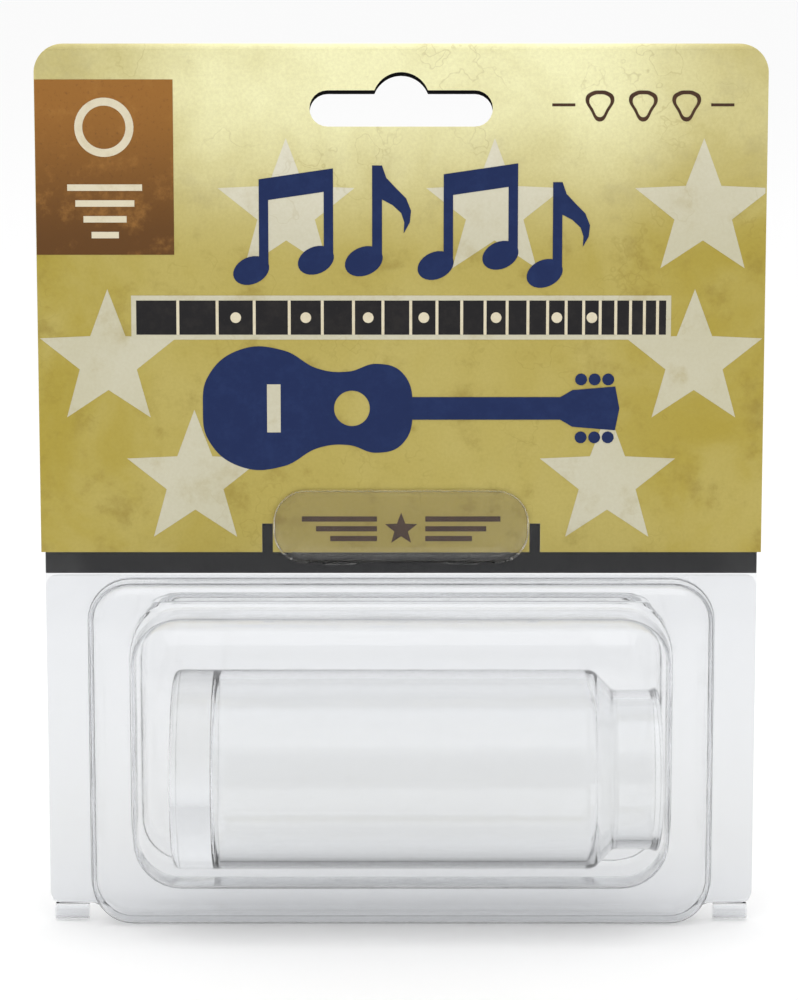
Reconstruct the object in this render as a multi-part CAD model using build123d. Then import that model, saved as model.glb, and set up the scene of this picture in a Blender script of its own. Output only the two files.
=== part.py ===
from build123d import *
import os

# A glass bottle slide in its hanging retail pack: a folded card header over the top
# of a clear clamshell, with the slide lying across the clamshell's cavity.
# Millimetres. +X to the right, the front faces -Y, +Z up. The clamshell parts on
# the plane Y = 0, and the pack stands on Z = 0.

# Card header
card_width = 101.6
card_board = 0.45
card_crease_z = 124.2            # height of the fold's axis
card_corner = 3.2
front_panel_bottom = 53.7
rear_panel_width = 100.6
rear_panel_bottom = 50.5
front_panel_face = -1.0          # outer face of the front panel
rear_panel_face = 0.6            # outer face of the rear panel
notch_inner = 18.1               # slots in the front panel beside the tongue
notch_width = 1.5
notch_height = 4.1

# Hanging hole
slot_width = 25.4
slot_height = 5.0
slot_middle_z = 116.1
hump_radius = 4.0
hump_top_z = 121.1
rear_hole_drop = 0.6             # the rear panel's hole sits this much lower

# Clamshell
sheet = 0.4                      # wall of the clear sheet
flange_width = 100.6
front_flange_top = 78.0          # hidden inside the card
back_flange_top = 50.2           # just under the rear panel
flange_corner = 1.5
half_gap = 0.1                   # air between the two halves
step_width, step_top = 88.6, 49.8
step_depth, step_corner = 4.0, 6.0
cavity_width, cavity_bottom, cavity_top = 76.0, 7.0, 47.9
cavity_depth, cavity_corner = 15.0, 7.0
cavity_draft = 3.0               # degrees
step_edge, cavity_edge = 1.2, 3.0

# Locking tongue
tongue_width = 36.0
tongue_root_z = 52.2
tongue_top_z = 62.6
tongue_face = -1.55
tongue_corner = 4.6

# Hinge beads at the foot
bead_radius = 1.2
bead_wall = 0.3
bead_slit = 1.0                  # left open at the top, where the two halves enter
bead_inner, bead_length = 44.8, 4.8

# Glass slide
slide_radius = 14.25
slide_left, slide_right = -32.4, 36.8
slide_axis_z = 22.0
bore_radius, bore_end = 13.1, -26.7
neck_bore_radius = 10.1          # ring size 10.5
waist_radius, lip_radius = 11.3, 11.85
shoulder_start, shoulder_end = 27.4, 30.2


def upright(width, bottom, top, corner):
    """Rounded rectangle standing in the plane Y = 0."""
    return Plane.XZ * Pos(0, (bottom + top) / 2) * RectangleRounded(width, top - bottom, corner)


def forward(face, start, end, taper=0.0):
    """Solid from a standing face, running from Y = -start to Y = -end."""
    return extrude(Pos(0, -start, 0) * face, amount=end - start, taper=taper)


def bubble(inset):
    """The two-step bubble as a solid block, taken in by inset on every side."""
    step = upright(step_width - 2 * inset, inset, step_top - inset, step_corner - inset)
    block = forward(step, 0, step_depth - inset)
    front = block.faces().sort_by(Axis.Y)[0]
    block = fillet(front.edges(), step_edge)
    cavity = upright(cavity_width - 2 * inset, cavity_bottom + inset,
                     cavity_top - inset, cavity_corner - inset)
    inner = forward(cavity, 0, cavity_depth - inset, cavity_draft)
    front = inner.faces().sort_by(Axis.Y)[0]
    return block + fillet(front.edges(), cavity_edge - inset)


def half_shell(top):
    """Front half of the clamshell, with its flange reaching up to top."""
    flange = forward(upright(flange_width, 2 * bead_radius, top, flange_corner), 0, sheet)
    return flange + bubble(0) - bubble(sheet)


def hanging_hole(drop):
    """Slot with a hump, as a cutter through one panel."""
    slot = Plane.XZ * Pos(0, slot_middle_z - drop) * SlotOverall(slot_width, slot_height)
    hump = Plane.XZ * Pos(0, hump_top_z - hump_radius - drop) * Circle(hump_radius)
    below = Plane.XZ * Pos(0, slot_middle_z - slot_height - drop) * Rectangle(slot_width, slot_height)
    return extrude(slot + hump - below, amount=5, both=True)


def panel(width, bottom, face, drop):
    """One card panel, hanging from the crease, with its top corners rounded."""
    height = card_crease_z - bottom
    board = Pos(0, face, bottom + height / 2) * Box(width, card_board, height)
    top = board.edges().filter_by(Axis.Y).group_by(Axis.Z)[-1]
    return fillet(top, card_corner) - hanging_hole(drop)


def front_panel():
    board = panel(card_width, front_panel_bottom, front_panel_face + card_board / 2, 0)
    for side in (-1, 1):
        x = side * (notch_inner + notch_width / 2)
        z = front_panel_bottom + notch_height / 2
        board -= Pos(x, front_panel_face, z) * Box(notch_width, 4, notch_height)
    return board


def rear_panel():
    y = rear_panel_face - card_board / 2
    return panel(rear_panel_width, rear_panel_bottom, y, rear_hole_drop)


def fold():
    """Half-round spine that joins the two panels."""
    radius = (rear_panel_face - front_panel_face) / 2
    middle = (rear_panel_face + front_panel_face) / 2
    length = card_width - 2 * card_corner
    along = Plane.YZ * Pos(middle, card_crease_z)
    ring = along * (Circle(radius) - Circle(radius - card_board))
    tube = extrude(ring, amount=length / 2, both=True)
    below = Pos(0, middle, card_crease_z - radius) * Box(length + 1, 4, 2 * radius)
    return tube - below


def tongue():
    """Flap in front of the card, on a short web that grows from the flange."""
    web_depth = -sheet - tongue_face
    web = Pos(0, -sheet - web_depth / 2, tongue_root_z + sheet / 2) * Box(
        tongue_width - 2, web_depth, sheet)
    height = tongue_top_z - tongue_root_z
    flap = Pos(0, tongue_face + sheet / 2, tongue_root_z + height / 2) * Box(
        tongue_width, sheet, height)
    corners = flap.edges().filter_by(Axis.Y)
    flap = fillet(corners.group_by(Axis.Z)[-1], tongue_corner)
    flap = fillet(flap.edges().filter_by(Axis.Y).group_by(Axis.Z)[0], 1.0)
    return flap + web


def hinge_bead(side):
    """Rolled bead that carries the back half on the front half."""
    ring = Circle(bead_radius) - Circle(bead_radius - bead_wall)
    slit = Pos(0, bead_radius) * Rectangle(bead_slit, bead_radius)
    section = Plane.YZ * Pos(half_gap / 2, bead_radius) * (ring - slit)
    start = bead_inner if side > 0 else -bead_inner - bead_length
    return Pos(start, 0, 0) * extrude(section, amount=bead_length)


def bottle():
    """Closed base, straight body, short shoulder and a neck with a flared lip."""
    corners = [
        (slide_left, 0),
        (slide_left, slide_radius),
        (shoulder_start, slide_radius),
        (shoulder_end, waist_radius),
        (slide_right - 1.2, waist_radius + 0.1),
        (slide_right, lip_radius),
        (slide_right, neck_bore_radius),
        (shoulder_end - 0.5, neck_bore_radius),
        (shoulder_start - 0.7, bore_radius),
        (bore_end, bore_radius),
        (bore_end, 0),
    ]
    rounds = {1: 1.2, 2: 2.0, 3: 1.2, 5: 0.5, 6: 0.5, 7: 1.5, 8: 1.5, 9: 1.6}
    profile = make_face(Polyline(*corners, close=True))
    for index, radius in rounds.items():
        x, r = corners[index]
        vertex = profile.vertices().sort_by_distance((x, r, 0))[0]
        profile = fillet(vertex, radius)
    turned = revolve(profile, Axis.X)
    return Pos(0, 0, slide_axis_z) * turned


def write(name, shape):
    shape.label = name
    export_step(shape, f"parts/{name}.step")


os.makedirs("parts", exist_ok=True)
write("front_shell", half_shell(front_flange_top))
write("back_shell", Pos(0, half_gap, 0) * mirror(half_shell(back_flange_top), Plane.XZ))
write("hinge_left", hinge_bead(-1))
write("hinge_right", hinge_bead(1))
write("lock_tongue", tongue())
write("header_front_panel", front_panel())
write("header_rear_panel", rear_panel())
write("header_fold", fold())
write("glass_slide", bottle())
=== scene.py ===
"""A glass bottle slide in its hanging pack: printed card header, clear clamshell, glass slide."""
import math

import bmesh
import bpy
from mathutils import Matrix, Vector, noise


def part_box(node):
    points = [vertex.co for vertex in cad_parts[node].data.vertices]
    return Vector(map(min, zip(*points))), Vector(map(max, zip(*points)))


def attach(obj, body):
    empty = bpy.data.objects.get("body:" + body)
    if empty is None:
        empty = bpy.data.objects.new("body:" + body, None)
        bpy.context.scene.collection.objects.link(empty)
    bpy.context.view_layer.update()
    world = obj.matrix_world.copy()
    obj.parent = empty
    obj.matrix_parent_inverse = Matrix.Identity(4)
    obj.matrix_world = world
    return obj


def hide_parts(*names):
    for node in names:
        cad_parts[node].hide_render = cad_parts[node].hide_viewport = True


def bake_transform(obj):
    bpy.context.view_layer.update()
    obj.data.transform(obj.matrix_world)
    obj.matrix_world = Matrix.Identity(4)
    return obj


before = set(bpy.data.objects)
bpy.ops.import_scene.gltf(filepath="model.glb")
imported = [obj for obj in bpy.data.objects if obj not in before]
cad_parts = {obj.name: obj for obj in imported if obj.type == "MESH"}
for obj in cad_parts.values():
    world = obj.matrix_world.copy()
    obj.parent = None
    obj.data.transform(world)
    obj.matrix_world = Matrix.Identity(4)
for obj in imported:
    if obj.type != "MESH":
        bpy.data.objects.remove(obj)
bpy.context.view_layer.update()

MM = 0.001

# ---------------------------------------------------------------- sizes, in millimetres


def cad_box(node):
    """A node's lowest and highest corners in millimetres."""
    low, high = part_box(node)
    return low / MM, high / MM


PANEL_LOW, PANEL_HIGH = cad_box("header_front_panel")
REAR_LOW, REAR_HIGH = cad_box("header_rear_panel")
FOLD_LOW, FOLD_HIGH = cad_box("header_fold")
FRONT_LOW, FRONT_HIGH = cad_box("front_shell")
BACK_LOW, BACK_HIGH = cad_box("back_shell")
TONGUE_LOW, TONGUE_HIGH = cad_box("lock_tongue")
SLIDE_LOW, SLIDE_HIGH = cad_box("glass_slide")
BEAD_LOW, BEAD_HIGH = cad_box("hinge_right")

SHEET = 0.4
VISIBLE_WALL = 0.3               # drawn thinner than the sheet
CARD_CORNER = 4.0
SLOT_HALF, SLOT_RADIUS = 12.7, 2.5
SLOT_MIDDLE = 116.1
HUMP_RADIUS, HUMP_TOP = 4.0, 121.1
REAR_HOLE_DROP = 0.6
NOTCH_INNER, NOTCH_WIDTH, NOTCH_HEIGHT = 18.1, 1.5, 4.1
STEP_HALF, STEP_TOP, STEP_DEPTH, STEP_CORNER = 44.3, 49.6, 4.0, 6.0
STEP_DRAFT = 0.35
CAVITY_HALF, CAVITY_BOTTOM, CAVITY_TOP, CAVITY_CORNER = 38.0, 7.0, 46.3, 7.0
CAVITY_DRAFT = math.radians(3)
FLANGE_FOOT, FLANGE_CORNER = 2.4, 1.5
LONG_STEPS = 16
BODY_BORE, NECK_BORE = 13.1, 10.1
NECK_WAIST, NECK_ROOT, LIP = 11.3, 11.4, 11.85
BORE_END, SHOULDER_START, SHOULDER_END = -26.7, 27.4, 30.2

# ---------------------------------------------------------------- node helpers


def rgb(red, green, blue):
    """Linear colour from the usual 0 to 255 values."""
    return tuple(((c / 255 + 0.055) / 1.055) ** 2.4 if c > 10 else c / 255 / 12.92
                 for c in (red, green, blue)) + (1.0,)


class Shader:
    """A material's node tree, with short calls for the nodes used here."""

    def __init__(self, name):
        self.material = bpy.data.materials.new(name)
        self.material.use_nodes = True
        self.tree = self.material.node_tree
        self.tree.nodes.clear()
        self.output = self.tree.nodes.new("ShaderNodeOutputMaterial")
        self.surface = self.node("ShaderNodeBsdfPrincipled")
        self.join(self.surface.outputs[0], self.output.inputs["Surface"])

    def join(self, source, target):
        self.tree.links.new(source, target)

    def fill(self, target, value):
        if isinstance(value, bpy.types.NodeSocket):
            self.join(value, target)
        else:
            target.default_value = value

    def node(self, kind, inputs=None, **settings):
        made = self.tree.nodes.new(kind)
        for key, value in settings.items():
            setattr(made, key, value)
        for key, value in (inputs or {}).items():
            self.fill(made.inputs[key], value)
        return made

    def set(self, **inputs):
        for key, value in inputs.items():
            self.fill(self.surface.inputs[key.replace("_", " ")], value)

    def place(self):
        return self.node("ShaderNodeTexCoord").outputs["Object"]

    def stretch(self, vector, scale):
        return self.node("ShaderNodeMapping", {"Vector": vector, "Scale": scale}).outputs[0]

    def math(self, operation, first, second=0.0, clamp=False):
        made = self.node("ShaderNodeMath", operation=operation, use_clamp=clamp)
        self.fill(made.inputs[0], first)
        self.fill(made.inputs[1], second)
        return made.outputs[0]

    def noise(self, vector, size, detail=4.0, rough=0.55, twist=0.0):
        """Noise whose features are about size millimetres across."""
        made = self.node("ShaderNodeTexNoise", {
            "Vector": vector, "Scale": 1 / (size * MM), "Detail": detail,
            "Roughness": rough, "Distortion": twist})
        return made.outputs["Fac"]

    def ramp(self, value, low, high, start=0.0, end=1.0):
        made = self.node("ShaderNodeMapRange", {
            "Value": value, "From Min": low, "From Max": high, "To Min": start, "To Max": end},
            interpolation_type="SMOOTHSTEP")
        return made.outputs[0]

    def mix(self, factor, first, second, blend="MIX"):
        made = self.node("ShaderNodeMix", data_type="RGBA", blend_type=blend)
        self.fill(made.inputs["Factor"], factor)
        self.fill(made.inputs[6], first)
        self.fill(made.inputs[7], second)
        return made.outputs[2]

    def bump(self, height, strength, distance):
        made = self.node("ShaderNodeBump", {
            "Height": height, "Strength": strength, "Distance": distance * MM})
        self.join(made.outputs[0], self.surface.inputs["Normal"])


# ---------------------------------------------------------------- materials


def aged_paper_with_painted_light(shader, base, light, dark, painted_top_light):
    """Mottled old-paper colour, paler to the middle, with a painted pool of light at the top middle,
    stains and thin cracks.
    """
    spot = shader.place()
    clouds = shader.noise(spot, 22, 5, 0.6, 0.4)
    blotches = shader.noise(spot, 6, 6, 0.65)
    grain = shader.noise(spot, 0.5, 3, 0.7)
    parts = shader.node("ShaderNodeSeparateXYZ", {"Vector": spot}).outputs
    aside = shader.math("ABSOLUTE", parts["X"])
    colour = shader.mix(shader.ramp(clouds, 0.38, 0.66, 0.0, 0.6), base, light)
    colour = shader.mix(shader.ramp(aside, 0.012, 0.046, 0.5, 0.0), colour, light)
    colour = shader.mix(shader.ramp(blotches, 0.5, 0.75, 0.0, 0.55), colour, dark)
    # Painted light: the card turns paler towards its top, most in the middle, as if lit from above.
    rise = shader.ramp(parts["Z"], 0.094, 0.120)
    rise = shader.math("MULTIPLY", rise, shader.ramp(aside, 0.024, 0.047, 1.0, 0.4))
    rise = shader.math("MULTIPLY", rise, shader.ramp(clouds, 0.3, 0.6, 0.7, 1.0))
    colour = shader.mix(rise, colour, painted_top_light)
    wobble = shader.node("ShaderNodeTexNoise", {"Vector": spot, "Scale": 160, "Detail": 3})
    wander = shader.mix(0.06, spot, wobble.outputs["Color"])
    cracks = shader.node("ShaderNodeTexVoronoi", {"Vector": wander, "Scale": 45},
                         feature="DISTANCE_TO_EDGE")
    line = shader.ramp(cracks.outputs["Distance"], 0.004, 0.03, 1.0, 0.0)
    patchy = shader.ramp(shader.noise(spot, 14, 2), 0.5, 0.62)
    line = shader.math("MULTIPLY", line, shader.math("MULTIPLY", patchy, 0.2))
    colour = shader.mix(line, colour, dark)
    return shader.mix(shader.ramp(grain, 0.3, 0.7, 0.0, 0.12), colour, dark)


def print_finish(shader):
    """Satin coated board with a faint tooth."""
    spot = shader.place()
    shader.set(Roughness=shader.ramp(shader.noise(spot, 3, 3), 0.3, 0.7, 0.42, 0.55))
    shader.surface.inputs["Specular IOR Level"].default_value = 0.28
    shader.bump(shader.noise(spot, 0.7, 3), 0.15, 0.05)


def paper_material():
    shader = Shader("mustard_print")
    # The last colour is painted light, a pale pool at the top of the card.
    shader.set(Base_Color=aged_paper_with_painted_light(shader, rgb(177, 158, 64), rgb(198, 184, 110), rgb(144, 122, 46),
                               rgb(255, 252, 200)))
    print_finish(shader)
    return shader.material


def pale_material():
    shader = Shader("pale_print")
    # The last colour is painted light, the same pale pool at the top of the card.
    shader.set(Base_Color=aged_paper_with_painted_light(shader, rgb(205, 200, 172), rgb(214, 210, 188), rgb(180, 166, 116),
                               rgb(244, 240, 222)))
    print_finish(shader)
    return shader.material


def ink_material(name, colour, worn, wear=0.5):
    """Ink with slightly uneven coverage."""
    shader = Shader(name)
    spot = shader.place()
    patches = shader.noise(spot, 2.2, 5, 0.7)
    specks = shader.noise(spot, 0.35, 2, 0.6)
    tone = shader.mix(shader.ramp(patches, 0.42, 0.72, 0.0, wear), colour, worn)
    shader.set(Base_Color=shader.mix(shader.ramp(specks, 0.62, 0.75, 0.0, wear), tone, worn))
    print_finish(shader)
    return shader.material


def brown_material():
    """Rust-brown ink, darker to the foot of the panel."""
    shader = Shader("brown_ink")
    spot = shader.place()
    height = shader.node("ShaderNodeSeparateXYZ", {"Vector": spot}).outputs["Z"]
    tone = shader.mix(shader.ramp(height, 0.096, 0.120), rgb(100, 64, 24), rgb(158, 106, 44))
    patches = shader.noise(spot, 5, 5, 0.7)
    tone = shader.mix(shader.ramp(patches, 0.5, 0.75, 0.0, 0.6), tone, rgb(176, 124, 60))
    specks = shader.noise(spot, 0.5, 3, 0.6)
    shader.set(Base_Color=shader.mix(shader.ramp(specks, 0.55, 0.75, 0.0, 0.4), tone, rgb(92, 58, 30)))
    print_finish(shader)
    return shader.material


def lining_material():
    shader = Shader("black_lining")
    spot = shader.place()
    shader.set(Base_Color=shader.mix(shader.noise(spot, 4, 4), rgb(13, 13, 14), rgb(24, 23, 23)))
    shader.set(Roughness=shader.ramp(shader.noise(spot, 1.5, 3), 0.3, 0.7, 0.5, 0.65))
    shader.surface.inputs["Specular IOR Level"].default_value = 0.06
    shader.bump(shader.noise(spot, 0.4, 3), 0.2, 0.04)
    return shader.material


def board_material():
    shader = Shader("raw_board")
    spot = shader.place()
    fibres = shader.noise(shader.stretch(spot, (1, 6, 1)), 0.4, 4, 0.7)
    shader.set(Base_Color=shader.mix(fibres, rgb(232, 229, 220), rgb(250, 249, 246)))
    shader.set(Roughness=shader.ramp(fibres, 0.3, 0.7, 0.75, 0.9))
    shader.bump(fibres, 0.4, 0.06)
    return shader.material


def clear_material(name, ior, tint, roughness, wave, size):
    """Clear solid that lamps shine through, with a slightly uneven surface."""
    shader = Shader(name)
    spot = shader.place()
    shader.set(Base_Color=tint, IOR=ior, Transmission_Weight=1.0)
    shader.set(Roughness=shader.ramp(shader.noise(spot, 5, 3), 0.4, 0.7, roughness / 2, roughness))
    if wave:
        shader.bump(shader.noise(spot, size, 2, 0.4), 0.5, wave)
    passing = shader.node("ShaderNodeBsdfTransparent", {"Color": (0.98, 0.98, 0.98, 1)})
    path = shader.node("ShaderNodeLightPath")
    blend = shader.node("ShaderNodeMixShader")
    shader.join(path.outputs["Is Shadow Ray"], blend.inputs[0])
    shader.join(shader.surface.outputs[0], blend.inputs[1])
    shader.join(passing.outputs[0], blend.inputs[2])
    shader.join(blend.outputs[0], shader.output.inputs["Surface"])
    return shader.material


PAPER = paper_material()
PALE = pale_material()
NAVY = ink_material("navy_ink", rgb(15, 36, 84), rgb(32, 53, 102), 0.4)
BLACK = ink_material("black_ink", rgb(24, 22, 24), rgb(52, 48, 44), 0.35)
BROWN = brown_material()
UMBER = ink_material("umber_ink", rgb(70, 46, 30), rgb(96, 68, 46), 0.5)
CREAM = ink_material("cream_ink", rgb(228, 218, 190), rgb(200, 184, 146), 0.4)
LINING = lining_material()
BOARD = board_material()
PLASTIC = clear_material("clear_sheet", 1.45, (0.872, 0.88, 0.892, 1), 0.09, 0.25, 9)
FLAP = clear_material("clear_flap", 1.45, (0.96, 0.945, 0.91, 1), 0.03, 0.25, 9)
GLASS = clear_material("slide_glass", 1.47, (0.995, 0.998, 0.998, 1), 0.004, 0.0, 9)

# ---------------------------------------------------------------- outlines, in (x, z) millimetres


def arc(centre, radius, start, end, steps=12):
    """Points on a circle from start to end, in degrees."""
    angles = [math.radians(start + (end - start) * i / steps) for i in range(steps + 1)]
    return [(centre[0] + radius * math.cos(a), centre[1] + radius * math.sin(a)) for a in angles]


def rounded(points, radii, steps=8):
    """Polyline with each corner replaced by an arc that touches both of its sides."""
    path = [points[0]]
    for before, corner, after, radius in zip(points, points[1:], points[2:], radii):
        here = Vector(corner)
        back, onward = (Vector(before) - here).normalized(), (Vector(after) - here).normalized()
        half = back.angle(onward) / 2
        reach = radius / math.tan(half)
        middle = here + (back + onward).normalized() * (radius / math.sin(half))
        first, last = here + back * reach - middle, here + onward * reach - middle
        turn = first.angle_signed(last)
        base = math.atan2(first.y, first.x)
        path += [tuple(middle + radius * Vector((math.cos(base - turn * i / steps),
                                                 math.sin(base - turn * i / steps))))
                 for i in range(steps + 1)]
    return path + [points[-1]]


def star(centre, reach, tilt, waist=0.42):
    """Five-pointed star; tilt turns it anticlockwise, in degrees."""
    points = []
    for i in range(10):
        angle = math.radians(90 + tilt + 36 * i)
        radius = reach * (1 if i % 2 == 0 else waist)
        points.append((centre[0] + radius * math.cos(angle), centre[1] + radius * math.sin(angle)))
    return points


def hanging_hole(drop):
    """Slot with a hump over its middle."""
    top = SLOT_MIDDLE + SLOT_RADIUS - drop
    middle = SLOT_MIDDLE - drop
    hump = HUMP_TOP - HUMP_RADIUS - drop
    side = math.degrees(math.asin((top - hump) / HUMP_RADIUS))
    straight = SLOT_HALF - SLOT_RADIUS
    return (arc((straight, middle), SLOT_RADIUS, -90, 90)
            + arc((0, hump), HUMP_RADIUS, side, 180 - side, 20)
            + arc((-straight, middle), SLOT_RADIUS, 90, 270))


def corner_x(z, half):
    """How far the card's rounded top corner reaches at height z."""
    rise = max(0.0, z - (FOLD_HIGH.z - CARD_CORNER))
    return half - CARD_CORNER + math.sqrt(max(0.0, CARD_CORNER ** 2 - rise ** 2))


def panel_outline(half, bottom, top, notched):
    """One card panel: square at the bottom, rounded at the top, cut off at the crease."""
    steps = 10
    start = FOLD_HIGH.z - CARD_CORNER
    rise = [start + (top - start) * i / steps for i in range(steps + 1)]
    right = [(half, bottom)] + [(corner_x(z, half), z) for z in rise]
    left = [(-x, z) for x, z in reversed(right)]
    foot = []
    if notched:
        inner, outer = NOTCH_INNER, NOTCH_INNER + NOTCH_WIDTH
        height = bottom + NOTCH_HEIGHT
        slot = [(inner, bottom), (inner, height), (outer, height), (outer, bottom)]
        foot = [(-x, z) for x, z in reversed(slot)] + slot
    return right + left + foot


# ---------------------------------------------------------------- mesh helpers


def finish_piece(obj, body, replaced=(), smooth_below=40):
    """Puts a piece in the scene, shades it and gives it its body."""
    if obj.name not in bpy.context.scene.collection.objects:
        bpy.context.scene.collection.objects.link(obj)
    for face in obj.data.polygons:
        face.use_smooth = True
    obj.data.set_sharp_from_angle(angle=math.radians(smooth_below))
    if replaced:
        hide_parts(*replaced)
    if body:
        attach(obj, body)
    return obj


def filled(loops, thickness=0.0, bevel=0.0, smooth=False):
    """Mesh in the plane y = 0 from one outline and its holes, in metres."""
    curve = bpy.data.curves.new("outline", "CURVE")
    curve.dimensions = "2D"
    curve.fill_mode = "BOTH"
    curve.extrude = max(0.0, thickness / 2 - bevel) * MM
    curve.bevel_depth = bevel * MM
    curve.bevel_resolution = 2
    curve.offset = -bevel * MM
    for loop in loops:
        kind = "BEZIER" if smooth else "POLY"
        spline = curve.splines.new(kind)
        points = spline.bezier_points if smooth else spline.points
        points.add(len(loop) - 1)
        for point, (x, z) in zip(points, loop):
            point.co = (x * MM, z * MM, 0) if smooth else (x * MM, z * MM, 0, 1)
            if smooth:
                point.handle_left_type = point.handle_right_type = "AUTO"
        spline.use_cyclic_u = True
    holder = bpy.data.objects.new("outline", curve)
    bpy.context.scene.collection.objects.link(holder)
    graph = bpy.context.evaluated_depsgraph_get()
    mesh = bpy.data.meshes.new_from_object(holder.evaluated_get(graph), depsgraph=graph)
    bpy.data.objects.remove(holder)
    for vertex in mesh.vertices:
        x, y, z = vertex.co
        vertex.co = (x, -z, y)
    return mesh


def card_panel(name, node, half, box_low, box_high, drop, notched, body):
    """Board panel: print on its outer face, black lining inside, raw white edges."""
    top = FOLD_LOW.z
    loops = [panel_outline(half, box_low.z, top, notched), hanging_hole(drop)]
    thickness = box_high.y - box_low.y
    mesh = filled(loops, thickness, 0.04)
    middle = (box_low.y + box_high.y) / 2
    outward = -1 if middle < 0 else 1
    for vertex in mesh.vertices:
        vertex.co.y += middle * MM
    for material in (PAPER, LINING, BOARD):
        mesh.materials.append(material)
    for face in mesh.polygons:
        facing = face.normal.y * outward
        face.material_index = 0 if facing > 0.7 else 1 if facing < -0.7 else 2
    piece = bpy.data.objects.new(name, mesh)
    return finish_piece(piece, body, [node], 30)


def card_fold():
    """Half-round spine of the folded board, its ends cut to the card's round corners."""
    outer = (FOLD_HIGH.y - FOLD_LOW.y) / 2
    inner = outer - (PANEL_HIGH.y - PANEL_LOW.y)
    middle = (FOLD_HIGH.y + FOLD_LOW.y) / 2
    half = PANEL_HIGH.x
    steps, along = 14, 24
    sections = []
    for i in range(steps + 1):
        angle = math.pi * i / steps
        sections.append((middle - outer * math.cos(angle), FOLD_LOW.z + outer * math.sin(angle), 0))
    for i in range(steps + 1):
        angle = math.pi * (1 - i / steps)
        sections.append((middle - inner * math.cos(angle), FOLD_LOW.z + inner * math.sin(angle), 1))
    made = bmesh.new()
    rings = []
    for k in range(along + 1):
        share = 2 * k / along - 1
        rings.append([made.verts.new((share * corner_x(z, half) * MM, y * MM, z * MM))
                      for y, z, _ in sections])
    count = len(sections)
    for first, second in zip(rings, rings[1:]):
        for i in range(count):
            j = (i + 1) % count
            face = made.faces.new((first[i], first[j], second[j], second[i]))
            inside = sections[i][2] and sections[j][2]
            crossing = sections[i][2] != sections[j][2]
            face.material_index = 1 if inside else 2 if crossing else 0
    for ends in (rings[0], rings[-1]):
        for i in range(steps):
            face = made.faces.new((ends[i], ends[i + 1], ends[count - 2 - i], ends[count - 1 - i]))
            face.material_index = 2
    bmesh.ops.recalc_face_normals(made, faces=made.faces)
    mesh = bpy.data.meshes.new("card_fold")
    made.to_mesh(mesh)
    for material in (PAPER, LINING, BOARD):
        mesh.materials.append(material)
    piece = bpy.data.objects.new("card_fold", mesh)
    finish_piece(piece, None, ["header_fold"], 50)
    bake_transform(piece)
    return piece


def printed(name, shapes, material, layer=1, smooth=False, rear=False):
    """Ink on the card's outer face. Each shape is an outline with any holes."""
    joined = bmesh.new()
    for k, loops in enumerate(shapes):
        lift = 0.015 * layer + 0.012 * k / len(shapes)
        y = REAR_HIGH.y + lift if rear else PANEL_LOW.y - lift
        flat = filled(loops, smooth=smooth)
        for vertex in flat.vertices:
            vertex.co.y = y * MM
        joined.from_mesh(flat)
    mesh = bpy.data.meshes.new(name)
    joined.to_mesh(mesh)
    mesh.materials.append(material)
    piece = bpy.data.objects.new(name, mesh)
    return finish_piece(piece, "rear_panel" if rear else "card")


# ---------------------------------------------------------------- clamshell


def ring(half, low, high, radius, y, arc_steps=8, long_steps=LONG_STEPS, tall_steps=8):
    """Rounded rectangle standing at depth y, as a closed list of points."""
    radius = min(max(radius, 0.3), (high - low) / 2 - 0.05, half - 0.05)
    corners = [((half - radius, low + radius), -90, tall_steps),
               ((half - radius, high - radius), 0, long_steps),
               ((-half + radius, high - radius), 90, tall_steps),
               ((-half + radius, low + radius), 180, long_steps)]
    points = []
    for k, (centre, start, side) in enumerate(corners):
        points += arc(centre, radius, start, start + 90, arc_steps)
        last = Vector(points[-1])
        following, angle, _ = corners[(k + 1) % 4]
        first = Vector(arc(following, radius, angle, angle, 1)[0])
        points += [tuple(last.lerp(first, i / side)) for i in range(1, side)]
    return [(x, y, z) for x, z in points]


def shell_rings(top):
    """Outer surface of the front half, from the flange's edge to the middle of the bubble."""
    half = FRONT_HIGH.x
    # Places in a ring's list: the middle and end of its lower right corner, then the start
    # and middle of its lower left one.
    right_middle, right_end, left_start, left_middle = 4, 8, 56, 60
    edge = ring(half, FLANGE_FOOT, top, FLANGE_CORNER, -SHEET)
    wall = ring(STEP_HALF, 0, STEP_TOP, STEP_CORNER, 0)
    corner = [(STEP_HALF - 0.3, -SHEET, FLANGE_FOOT),
              (half - FLANGE_CORNER, -SHEET, FLANGE_FOOT), edge[right_middle]]
    mirrored = [(-x, y, z) for x, y, z in reversed(corner)]
    rings = [wall[:right_middle + 1] + corner + edge[right_end:left_start + 1]
             + mirrored + wall[left_middle:]]

    def step(inset, y):
        low = max(0.0, inset - STEP_DRAFT)
        points = ring(STEP_HALF - inset, low, STEP_TOP - inset, STEP_CORNER - inset, y)
        if inset < 0:
            foot = ring(STEP_HALF, 0, STEP_TOP, STEP_CORNER, y)
            points[:right_middle + 1] = foot[:right_middle + 1]
            points[left_middle:] = foot[left_middle:]
        rings.append(points)

    def cavity(inset, y):
        high = min(CAVITY_TOP - inset, STEP_TOP - 2.55)
        rings.append(ring(CAVITY_HALF - inset, CAVITY_BOTTOM + inset, high,
                          CAVITY_CORNER - inset * 0.6, y))

    side = [(-2, -SHEET), (0, -SHEET), (STEP_DRAFT, -STEP_DEPTH), (6, -STEP_DEPTH)]
    for inset, y in rounded(side, [0.5, 2.2], 8)[1:-1]:
        step(inset, y)
    drop = -FRONT_LOW.y - STEP_DEPTH
    lean = drop * math.tan(CAVITY_DRAFT)
    side = [(-2, -STEP_DEPTH), (0, -STEP_DEPTH), (lean, FRONT_LOW.y), (lean + 7, FRONT_LOW.y)]
    for inset, y in rounded(side, [1.2, 5.0], 8)[1:]:
        cavity(inset, y)
    for inset in (9, 11, 14, 16.5, 18.5):
        cavity(inset, FRONT_LOW.y)
    return rings


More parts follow.
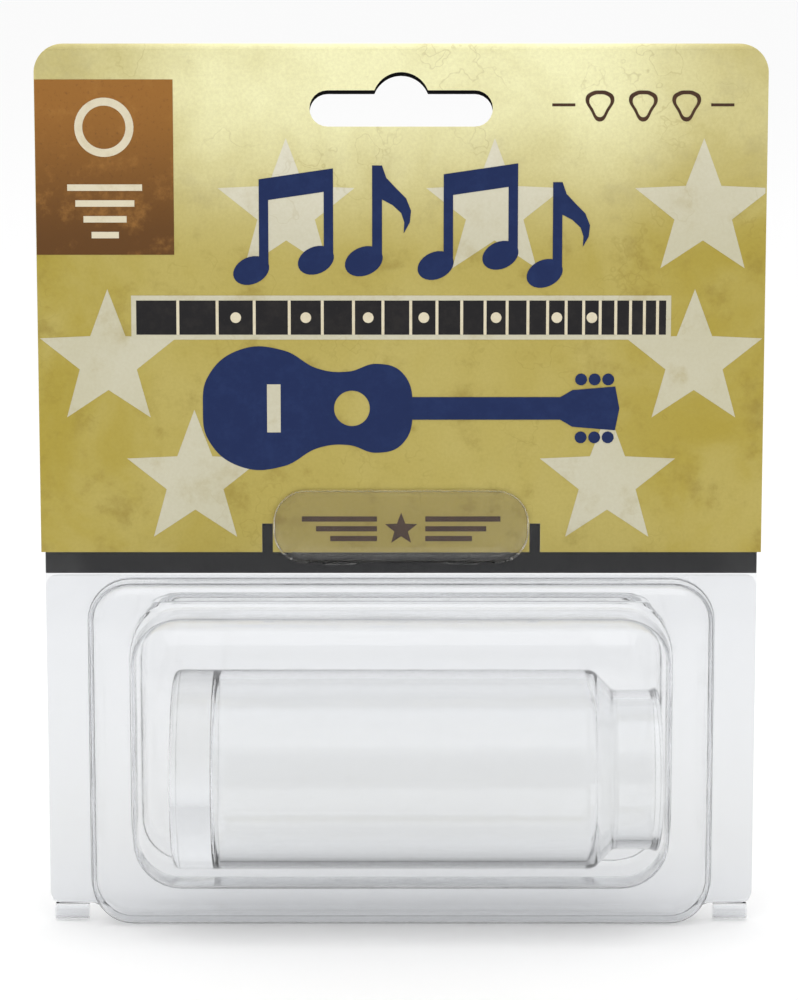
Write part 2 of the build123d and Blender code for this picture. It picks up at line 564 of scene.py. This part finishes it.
def sag(x, y, z):
    """How far the formed sheet sinks in from its flat faces, in millimetres."""
    share = min(1.0, max(0.0, (-y - SHEET) / 12))
    slow = noise.noise(Vector((x / 26, z / 15, 3.7)))
    quick = noise.noise(Vector((x / 9, z / 7, 9.1)))
    return share * (0.08 + 0.05 * slow + 0.03 * quick)


def thin_wall(name, mesh):
    """Object whose surface is thickened inwards to the visible wall."""
    piece = bpy.data.objects.new(name, mesh)
    bpy.context.scene.collection.objects.link(piece)
    wall = piece.modifiers.new("wall", "SOLIDIFY")
    wall.thickness = VISIBLE_WALL * MM
    wall.offset = -1
    graph = bpy.context.evaluated_depsgraph_get()
    solid = bpy.data.meshes.new_from_object(piece.evaluated_get(graph), depsgraph=graph)
    piece.modifiers.clear()
    piece.data = solid
    return piece


def half_shell(name, node, top, mirrored):
    """One half of the clamshell as a closed thin wall."""
    rings = shell_rings(top)
    made = bmesh.new()
    loops = []
    for points in rings:
        loop = []
        for x, y, z in points:
            y = y + sag(x, y, z)
            if mirrored:
                y = BACK_LOW.y - y
            loop.append(made.verts.new((x * MM, y * MM, z * MM)))
        loops.append(loop)
    count = len(loops[0])
    for outer, inner in zip(loops, loops[1:]):
        for i in range(count):
            j = (i + 1) % count
            made.faces.new((outer[i], outer[j], inner[j], inner[i]))
    made.faces.new(loops[-1])
    bmesh.ops.recalc_face_normals(made, faces=made.faces)
    outward = sum(face.normal.y * face.calc_area() for face in made.faces)
    if (outward > 0) != mirrored:
        bmesh.ops.reverse_faces(made, faces=made.faces)
    mesh = bpy.data.meshes.new(name)
    made.to_mesh(mesh)
    mesh.materials.append(PLASTIC)
    piece = thin_wall(name, mesh)
    body = "back_shell" if mirrored else "front_shell"
    return finish_piece(piece, body, [node], 50)


def sweep(name, section, start, end, material, body, replaced):
    """Closed (y, z) section run along X from start to end."""
    made = bmesh.new()
    steps = 6
    rings = []
    for k in range(steps + 1):
        x = start + (end - start) * k / steps
        rings.append([made.verts.new((x * MM, y * MM, z * MM)) for y, z in section])
    count = len(section)
    for first, second in zip(rings, rings[1:]):
        for i in range(count):
            j = (i + 1) % count
            made.faces.new((first[i], first[j], second[j], second[i]))
    made.faces.new(rings[0])
    made.faces.new(rings[-1])
    bmesh.ops.recalc_face_normals(made, faces=made.faces)
    mesh = bpy.data.meshes.new(name)
    made.to_mesh(mesh)
    mesh.materials.append(material)
    piece = bpy.data.objects.new(name, mesh)
    return finish_piece(piece, body, replaced)


def hinge_bead(name, node, start, end):
    """Rolled bead that joins the two flanges at the foot."""
    radius, wall = FLANGE_FOOT / 2, 0.3
    middle = (0.05, radius)
    outer = arc(middle, radius, 112, 428, 36)
    inner = arc(middle, radius - wall, 428, 112, 36)
    piece = sweep(name, outer + inner, start, end, PLASTIC, None, [node])
    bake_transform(piece)
    return piece


def lock_tongue():
    """Slightly pillowed clear flap that bends back to the flange below the card's edge."""
    low, high = TONGUE_LOW, TONGUE_HIGH
    corner, pillow = 4.6, 0.28
    bend_top, root_y = PANEL_LOW.z - 0.1, -SHEET - 0.02
    made = bmesh.new()
    loops = []
    edge = rounded([(-1, 0), (0, 0), (0.9, -pillow), (4.4, -pillow)], [0.4, 0.8], 5)[1:-1]
    flat = [(inset, -pillow) for inset in (1.8, 2.4, 3.2, 4.4)]
    for inset, lift in [(0.0, 0.0)] + edge + flat:
        points = ring(high.x - inset, low.z + inset, high.z - inset, corner - inset * 0.6,
                      low.y + pillow + lift, 10, 20, 8)
        loop = []
        for x, y, z in points:
            share = min(1.0, max(0.0, (bend_top - z) / (bend_top - low.z)))
            loop.append(made.verts.new((x * MM, (y + (root_y - y) * share ** 1.5) * MM, z * MM)))
        loops.append(loop)
    count = len(loops[0])
    for outer, inner in zip(loops, loops[1:]):
        for i in range(count):
            j = (i + 1) % count
            made.faces.new((outer[i], outer[j], inner[j], inner[i]))
    made.faces.new(loops[-1])
    bmesh.ops.recalc_face_normals(made, faces=made.faces)
    if sum(face.normal.y * face.calc_area() for face in made.faces) > 0:
        bmesh.ops.reverse_faces(made, faces=made.faces)
    mesh = bpy.data.meshes.new("tongue_flap")
    made.to_mesh(mesh)
    mesh.materials.append(FLAP)
    piece = thin_wall("tongue_flap", mesh)
    finish_piece(piece, None, ["lock_tongue"], 50)
    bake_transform(piece)
    return piece


# ---------------------------------------------------------------- glass slide


def glass_slide():
    """Bottle turned about its long axis, with the small unevenness of hand-worked glass."""
    radius = (SLIDE_HIGH.z - SLIDE_LOW.z) / 2
    axis_z = (SLIDE_HIGH.z + SLIDE_LOW.z) / 2
    left, right = SLIDE_LOW.x, SLIDE_HIGH.x
    outline = [
        (left + 0.15, 0), (left, radius), (SHOULDER_START, radius), (SHOULDER_END, NECK_WAIST),
        (right - 1.2, NECK_ROOT), (right, LIP), (right, NECK_BORE), (SHOULDER_END - 0.5, NECK_BORE),
        (SHOULDER_START - 0.7, BODY_BORE), (BORE_END, BODY_BORE), (BORE_END, 0)]
    radii = [1.0, 2.0, 1.2, 1.0, 0.45, 0.45, 1.5, 1.5, 1.2]
    profile = rounded(outline, radii, 8)
    turns = 128
    made = bmesh.new()
    rows = []
    for x, r in profile:
        if r < 0.01:
            rows.append([made.verts.new((x * MM, 0, axis_z * MM))])
            continue
        row = []
        for k in range(turns):
            angle = 2 * math.pi * k / turns
            side, up = math.cos(angle), math.sin(angle)
            swell = 0.07 * noise.noise(Vector((x / 16, side * r / 14, up * r / 14)))
            row.append(made.verts.new((x * MM, (r + swell) * side * MM,
                                       (axis_z + (r + swell) * up) * MM)))
        rows.append(row)
    for first, second in zip(rows, rows[1:]):
        for k in range(turns):
            j = (k + 1) % turns
            corners = [first[k % len(first)], first[j % len(first)],
                       second[j % len(second)], second[k % len(second)]]
            made.faces.new(list(dict.fromkeys(corners)))
    bmesh.ops.recalc_face_normals(made, faces=made.faces)
    mesh = bpy.data.meshes.new("bottle_slide")
    made.to_mesh(mesh)
    mesh.materials.append(GLASS)
    piece = bpy.data.objects.new("bottle_slide", mesh)
    return finish_piece(piece, "glass_slide", ["glass_slide"], 80)


# ---------------------------------------------------------------- card artwork


def clipped(loop, low_x, high_x, low_z, high_z):
    """Convex-window clip of an outline, one side at a time."""
    sides = [(0, low_x, 1), (0, high_x, -1), (1, low_z, 1), (1, high_z, -1)]
    for axis, limit, sign in sides:
        kept = []
        for a, b in zip(loop, loop[1:] + loop[:1]):
            inside_a, inside_b = (a[axis] - limit) * sign >= 0, (b[axis] - limit) * sign >= 0
            if inside_a:
                kept.append(a)
            if inside_a != inside_b:
                share = (limit - a[axis]) / (b[axis] - a[axis])
                kept.append(tuple(Vector(a).lerp(Vector(b), share)))
        loop = kept
    return loop


def stars():
    """Upright pale stars of one size in staggered rows, cut off where they run past the card."""
    half, low, high = PANEL_HIGH.x - 0.2, PANEL_LOW.z + 0.2, FOLD_HIGH.z - CARD_CORNER
    rows = [(102.0, (-16.0, 13.0, 42.0)), (81.0, (-41.0, 41.0)), (64.0, (-29.0, 29.0))]
    reach = 10.0
    shapes = [[clipped(star((x, z), reach, 0), -half, half, low, high)]
              for z, columns in rows for x in columns]
    printed("pale_stars", shapes, PALE, 1)


def bar(x0, x1, z0, z1):
    return [(x0, z0), (x1, z0), (x1, z1), (x0, z1)]


def fret_band():
    """Black fretboard strip across the card, with pale frets and markers."""
    z0, z1, half = 84.6, 89.4, 37.0
    printed("band_halo", [[bar(-half - 0.7, half + 0.7, z0 - 0.7, z1 + 0.7)]], PALE, 2)
    printed("band", [[bar(-half, half, z0, z1)]], BLACK, 3)
    frets = []
    scale = 2.8 * half
    for n in range(1, 22):
        x = -half + scale * (1 - 2 ** (-n / 12))
        if x < half - 1:
            frets.append([bar(x - 0.2, x + 0.2, z0, z1)])
    middles = []
    for n in (3, 5, 7, 9, 12, 15, 17):
        x = -half + scale * (1 - (2 ** (-n / 12) + 2 ** (-(n - 1) / 12)) / 2)
        if x < half - 2:
            middles.append([arc((x, (z0 + z1) / 2), 0.75, 0, 345, 23)])
    printed("frets", frets + middles, CREAM, 4)


def note(x, z, size, flag=True):
    """Quaver: tilted oval head, stem and flag, as separate outlines."""
    lean = math.radians(24)
    head = []
    for k in range(28):
        a = 2 * math.pi * k / 28
        u, v = 0.64 * size * math.cos(a), 0.46 * size * math.sin(a)
        head.append((x + u * math.cos(lean) - v * math.sin(lean),
                     z + u * math.sin(lean) + v * math.cos(lean)))
    stem_x, top = x + 0.43 * size, z + (3.1 if flag else 2.9) * size
    shapes = [[head], [bar(stem_x - 0.16 * size, stem_x + 0.16 * size, z + 0.2 * size, top)]]
    if flag:
        curl = [(-0.16, 0), (0.16, 0), (0.3, -0.4), (0.62, -0.74), (0.94, -1.06), (1.1, -1.46),
                (1.06, -1.84), (0.86, -2.2), (0.88, -1.84), (0.78, -1.54), (0.5, -1.28), (0.16, -1.1)]
        shapes.append([[(stem_x + size * u, top + size * v) for u, v in curl]])
    return shapes


def beamed(x, z, size):
    """Two notes joined by a beam."""
    shapes = note(x, z, size, False) + note(x + 2.2 * size, z + 0.35 * size, size, False)
    x0, x1 = x + 0.27 * size, x + 2.79 * size
    top0, top1 = z + 3.1 * size, z + 3.47 * size
    shapes.append([[(x0, top0 - 0.75 * size), (x1, top1 - 0.75 * size), (x1, top1), (x0, top0)]])
    return shapes


def notes_row():
    """Arched row of large notes over the band."""
    shapes = []
    shapes += beamed(-20.9, 93.6, 4.1)
    shapes += note(-5.2, 94.9, 4.3)
    shapes += beamed(4.8, 94.3, 4.1)
    shapes += note(20.0, 93.2, 4.1)
    printed("notes", shapes, NAVY, 3)


def guitar():
    """Round-bodied guitar lying under the band: body, sound hole, neck and head."""
    z = 74.2
    upper = [(-27.8, 0), (-27.0, 4.6), (-22.5, 8.3), (-16.5, 8.2), (-11.6, 5.6), (-7.4, 5.2),
             (-3.4, 6.3), (0.2, 5.0), (1.6, 0)]
    body = [(x, z + h) for x, h in upper] + [(x, z - h) for x, h in reversed(upper[1:-1])]
    hole = arc((-6.9, z), 2.5, 0, 345, 23)
    printed("guitar_body", [[body, hole]], NAVY, 3, smooth=True)
    neck = bar(1.0, 22.5, z - 1.6, z + 1.6)
    head = [(22.3, z - 1.6), (24.0, z - 2.6), (30.0, z - 3.1), (30.6, z), (30.0, z + 3.1),
            (24.0, z + 2.6), (22.3, z + 1.6)]
    pegs = []
    for k in range(3):
        for side in (-1, 1):
            pegs.append([arc((25.2 + 1.9 * k, z + side * 4.1), 0.85, 0, 345, 12)])
    bridge = bar(-18.8, -16.9, z - 3.4, z + 3.4)
    printed("guitar_neck", [[neck], [head]] + pegs, NAVY, 5)
    printed("guitar_bridge", [[bridge]], PALE, 4)


def size_panel():
    """Brown corner panel with a ring and a stack of graded bars in place of figures."""
    left, right, low, high = PANEL_LOW.x + 0.05, -31.6, 95.8, 120.1
    printed("size_panel", [[bar(left, right, low, high)]], BROWN, 2)
    middle = (left + right) / 2
    ring_z = high - 6.6
    shapes = [[arc((middle, ring_z), 4.1, 0, 352, 44), arc((middle, ring_z), 3.0, 0, 352, 44)]]
    for k, width in enumerate((5.2, 4.1, 3.0, 1.9)):
        z = low + 8.9 - 2.2 * k
        shapes.append([bar(middle - width, middle + width, z, z + 0.9)])
    printed("size_marks", shapes, CREAM, 3)


def plectrum(x, z, size):
    """Rounded triangle standing on its point."""
    return [(x, z - size), (x + 0.55 * size, z - 0.35 * size), (x + 0.85 * size, z + 0.45 * size),
            (x + 0.45 * size, z + 0.8 * size), (x, z + 0.86 * size), (x - 0.45 * size, z + 0.8 * size),
            (x - 0.85 * size, z + 0.45 * size), (x - 0.55 * size, z - 0.35 * size)]


def corner_mark():
    """Row of three small plectrums between two rules, top right."""
    z, middle = 116.6, 33.5
    shapes = [[plectrum(middle + 6.0 * k, z, 2.3), plectrum(middle + 6.0 * k, z, 1.7)]
              for k in (-1, 0, 1)]
    printed("plectrums", shapes, UMBER, 2, smooth=True)
    rules = [[bar(middle + side * 11 - 1.6, middle + side * 11 + 1.6, z - 0.2, z + 0.2)]
             for side in (-1, 1)]
    printed("plectrum_rules", rules, UMBER, 2)


def tongue_mark():
    """Small star between rules, read through the tongue."""
    z = 57.0
    shapes = [[star((0, z), 2.4, 0)]]
    for side in (-1, 1):
        for outer, low in ((14.0, 1.1), (12.0, -0.3), (10.0, -1.7)):
            shapes.append([bar(min(3.4 * side, outer * side), max(3.4 * side, outer * side),
                               z + low, z + low + 0.75)])
    printed("tongue_mark", shapes, UMBER, 2)


def rear_print():
    """Plain ruled block and a star on the card's back."""
    bars = [[bar(-36, 36 - 9 * (k % 3), 100 - 3.2 * k, 100.9 - 3.2 * k)] for k in range(9)]
    printed("rear_rules", bars, UMBER, 1, rear=True)
    printed("rear_star", [[star((0, 62.5), 8.0, 0)]], PALE, 1, rear=True)


# ---------------------------------------------------------------- build the object

card_panel("front_panel", "header_front_panel", PANEL_HIGH.x, PANEL_LOW, PANEL_HIGH, 0, True, "card")
card_panel("rear_panel_board", "header_rear_panel", REAR_HIGH.x, REAR_LOW, REAR_HIGH,
           REAR_HOLE_DROP, False, "rear_panel")
card_fold()
stars()
size_panel()
corner_mark()
notes_row()
fret_band()
guitar()
tongue_mark()
rear_print()
half_shell("clear_front", "front_shell", FRONT_HIGH.z, False)
half_shell("clear_back", "back_shell", BACK_HIGH.z, True)
hinge_bead("bead_left", "hinge_left", -BEAD_HIGH.x, -BEAD_LOW.x)
hinge_bead("bead_right", "hinge_right", BEAD_LOW.x, BEAD_HIGH.x)
lock_tongue()
glass_slide()

# ---------------------------------------------------------------- studio


def studio():
    """Pale floor painted grey far in front of the pack as a stand-in for shade, three soft boxes and a
    surround that is brighter above and behind.
    """
    floor = bpy.data.meshes.new("floor")
    reach = 40.0
    floor.from_pydata([(-reach, -reach, 0), (reach, -reach, 0), (reach, reach, 0), (-reach, reach, 0)],
                      [], [(0, 1, 2, 3)])
    shader = Shader("floor_white_painted_dark_front")
    depth = shader.node("ShaderNodeSeparateXYZ", {"Vector": shader.place()}).outputs["Y"]
    # Painted shade: farther in front of the pack the floor turns grey, so the clear plastic and the
    # lining reflect a dark front.
    front_painted_shade_fade = shader.ramp(depth, -0.36, -0.16)
    tone = shader.mix(front_painted_shade_fade, (0.5, 0.5, 0.51, 1), (0.94, 0.94, 0.94, 1))
    matte = shader.node("ShaderNodeBsdfDiffuse", {"Color": tone})
    shader.join(matte.outputs[0], shader.output.inputs["Surface"])
    floor.materials.append(shader.material)
    plane = bpy.data.objects.new("floor", floor)
    plane.location.z = -0.0002
    bpy.context.scene.collection.objects.link(plane)

    world = bpy.data.worlds.new("studio")
    bpy.context.scene.world = world
    world.use_nodes = True
    tree = world.node_tree
    tree.nodes.clear()
    output = tree.nodes.new("ShaderNodeOutputWorld")
    background = tree.nodes.new("ShaderNodeBackground")
    place = tree.nodes.new("ShaderNodeTexCoord")
    split = tree.nodes.new("ShaderNodeSeparateXYZ")
    tree.links.new(place.outputs["Generated"], split.inputs[0])
    total = tree.nodes.new("ShaderNodeMath")
    for k, (axis, low, high, dim, bright) in enumerate((("Y", -1.0, 0.1, 0.70, 1.14),
                                                        ("Z", 0.0, 0.9, 0.0, 0.33))):
        fade = tree.nodes.new("ShaderNodeMapRange")
        fade.inputs["From Min"].default_value = low
        fade.inputs["From Max"].default_value = high
        fade.inputs["To Min"].default_value = dim
        fade.inputs["To Max"].default_value = bright
        tree.links.new(split.outputs[axis], fade.inputs["Value"])
        tree.links.new(fade.outputs[0], total.inputs[k])
    tree.links.new(total.outputs[0], background.inputs["Strength"])
    tree.links.new(background.outputs[0], output.inputs["Surface"])

    def softbox(name, place, aim, size, power):
        lamp = bpy.data.lights.new(name, "AREA")
        lamp.shape = "RECTANGLE"
        lamp.size, lamp.size_y = size
        lamp.energy = power
        holder = bpy.data.objects.new(name, lamp)
        holder.location = place
        holder.rotation_euler = (Vector(aim) - Vector(place)).to_track_quat("-Z", "Y").to_euler()
        bpy.context.scene.collection.objects.link(holder)

    middle = (0, 0, 0.06)
    softbox("key", (-0.4, -0.7, 0.8), middle, (1.3, 1.3), 0.25)
    softbox("above", (0, -0.36, 0.7), (0, -0.12, 0), (0.9, 0.7), 1.6)
    softbox("behind", (0, 0.7, 1.3), (0, 0.3, 0), (1.4, 0.8), 0.5)


def camera():
    """A little above the pack's middle, looking gently down."""
    distance, pitch = 0.520, math.radians(9.5)
    aim = Vector((-0.0003, 0, 0.0610))
    data = bpy.data.cameras.new("camera")
    sensor, lens_per_sensor = 36, 3.685
    data.sensor_width = sensor
    data.lens = sensor * lens_per_sensor
    data.clip_start, data.clip_end = 0.01, 30
    holder = bpy.data.objects.new("camera", data)
    holder.location = aim + distance * Vector((0, -math.cos(pitch), math.sin(pitch)))
    holder.rotation_euler = (math.pi / 2 - pitch, 0, 0)
    bpy.context.scene.collection.objects.link(holder)
    bpy.context.scene.camera = holder


studio()
camera()
bpy.context.scene.view_settings.view_transform = "Standard"
